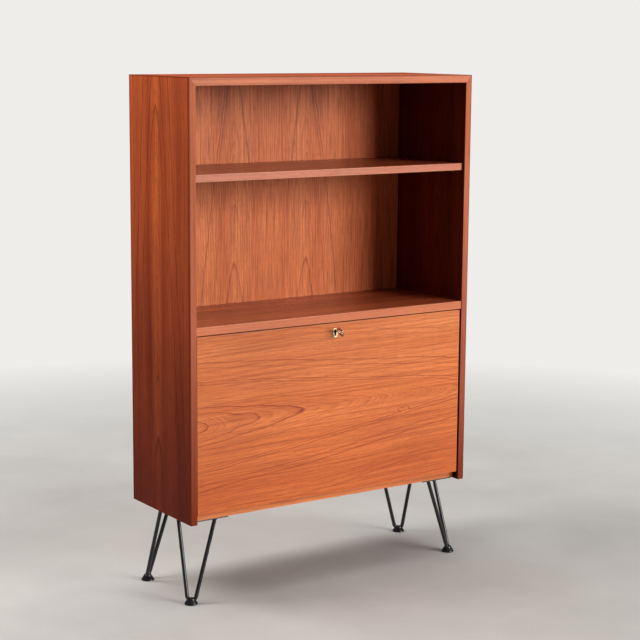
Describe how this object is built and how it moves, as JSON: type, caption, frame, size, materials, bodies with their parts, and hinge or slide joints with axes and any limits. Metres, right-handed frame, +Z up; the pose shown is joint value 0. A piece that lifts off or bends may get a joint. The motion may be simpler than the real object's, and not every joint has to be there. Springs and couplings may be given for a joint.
{
  "type": "secretary desk",
  "caption": "Teak bookcase secretary: open shelves above a lockable drop-front writing flap with stays, pigeonholes and small drawers, on black hairpin legs.",
  "frame": {"origin": "middle of the bounding box on the floor, with the flap closed and the key in its lock", "axes": "+Z up, +X to the right of someone facing the desk, front towards -Y"},
  "size_m": [0.85, 0.333, 1.3],
  "materials": {
    "teak_upright": "satin oiled teak, grain upright",
    "teak_level": "satin oiled teak, grain along the boards",
    "teak_flap": "satin oiled teak, grain level",
    "teak_inside": "satin oiled teak",
    "brass": "aged satin brass",
    "nickel": "worn nickel plate",
    "black_steel": "satin black powder coat",
    "black_plastic": "smooth black plastic"
  },
  "bodies": {
    "carcass": {"side_panel_left": "teak_upright", "side_panel_right": "teak_upright", "top_panel": "teak_upright", "back_panel": "teak_upright", "bottom_panel": "teak_level", "fixed_shelf": "teak_level", "adjustable_shelf": "teak_level", "pigeonhole_shelf": "teak_inside", "divider_1": "teak_inside", "divider_2": "teak_inside", "divider_3": "teak_inside", "flap_stop_left": "teak_inside", "hinge_leaf_bottom_left": "brass", "hinge_pin_left": "brass", "stay_plate_left": "brass", "shelf_pin_front_left": "brass", "shelf_pin_back_left": "brass", "flap_stop_right": "teak_inside", "hinge_leaf_bottom_right": "brass", "hinge_pin_right": "brass", "stay_plate_right": "brass", "shelf_pin_front_right": "brass", "shelf_pin_back_right": "brass", "strike_plate": "brass", "leg_plate_front_left": "black_steel", "hairpin_front_left": "black_steel", "leg_plate_front_right": "black_steel", "hairpin_front_right": "black_steel", "leg_plate_back_left": "black_steel", "hairpin_back_left": "black_steel", "leg_plate_back_right": "black_steel", "hairpin_back_right": "black_steel", "glide_front_left": "black_plastic", "glide_front_right": "black_plastic", "glide_back_left": "black_plastic", "glide_back_right": "black_plastic"},
    "flap": {"flap": "teak_flap", "hinge_leaf_flap_left": "brass", "stay_lug_left": "brass", "hinge_leaf_flap_right": "brass", "stay_lug_right": "brass", "lock_case": "brass", "escutcheon": "nickel"},
    "stay_arm_left": {"stay_arm_left": "brass"},
    "stay_arm_right": {"stay_arm_right": "brass"},
    "stay_guide_left": {"stay_guide_left": "brass"},
    "stay_guide_right": {"stay_guide_right": "brass"},
    "drawer_left": {"drawer_front_left": "teak_inside", "drawer_tray_left": "teak_inside", "drawer_knob_left": "brass"},
    "drawer_right": {"drawer_front_right": "teak_inside", "drawer_tray_right": "teak_inside", "drawer_knob_right": "brass"},
    "lock_key": {"key": "nickel", "lock_barrel": "brass"},
    "lock_bolt": {"lock_bolt": "brass"}
  },
  "joints": [
    {"name": "flap_hinge", "type": "hinge", "parent": "carcass", "child": "flap", "pos_m": [0, -0.111, 0.2335], "axis": [1, 0, 0], "range_deg": [0, 90]},
    {"name": "stay_arm_pivot_left", "type": "hinge", "parent": "flap", "child": "stay_arm_left", "pos_m": [-0.397, -0.099, 0.3835], "axis": [1, 0, 0], "range_deg": [-45, 0]},
    {"name": "stay_guide_swivel_left", "type": "hinge", "parent": "carcass", "child": "stay_guide_left", "pos_m": [-0.403, -0.07161, 0.37873], "axis": [1, 0, 0], "range_deg": [0, 45]},
    {"name": "stay_arm_pivot_right", "type": "hinge", "parent": "flap", "child": "stay_arm_right", "pos_m": [0.397, -0.099, 0.3835], "axis": [1, 0, 0], "range_deg": [-45, 0]},
    {"name": "stay_guide_swivel_right", "type": "hinge", "parent": "carcass", "child": "stay_guide_right", "pos_m": [0.403, -0.07161, 0.37873], "axis": [1, 0, 0], "range_deg": [0, 45]},
    {"name": "key_turn", "type": "hinge", "parent": "flap", "child": "lock_key", "pos_m": [0, -0.1295, 0.6585], "axis": [0, -1, 0], "range_deg": [-30, 60]},
    {"name": "bolt_slide", "type": "slide", "parent": "flap", "child": "lock_bolt", "axis": [0, 0, 1], "range_m": [-0.0027, 0.0054]},
    {"name": "drawer_slide_left", "type": "slide", "parent": "carcass", "child": "drawer_left", "axis": [0, -1, 0], "range_m": [0, 0.095]},
    {"name": "drawer_slide_right", "type": "slide", "parent": "carcass", "child": "drawer_right", "axis": [0, -1, 0], "range_m": [0, 0.095]}
  ],
  "couplings": [
    {"joint": "stay_arm_pivot_left", "follows": "flap_hinge", "ratio": -0.5},
    {"joint": "stay_guide_swivel_left", "follows": "flap_hinge", "ratio": 0.5},
    {"joint": "stay_arm_pivot_right", "follows": "flap_hinge", "ratio": -0.5},
    {"joint": "stay_guide_swivel_right", "follows": "flap_hinge", "ratio": 0.5},
    {"joint": "bolt_slide", "follows": "key_turn", "m_per_rad": 0.005093}
  ]
}
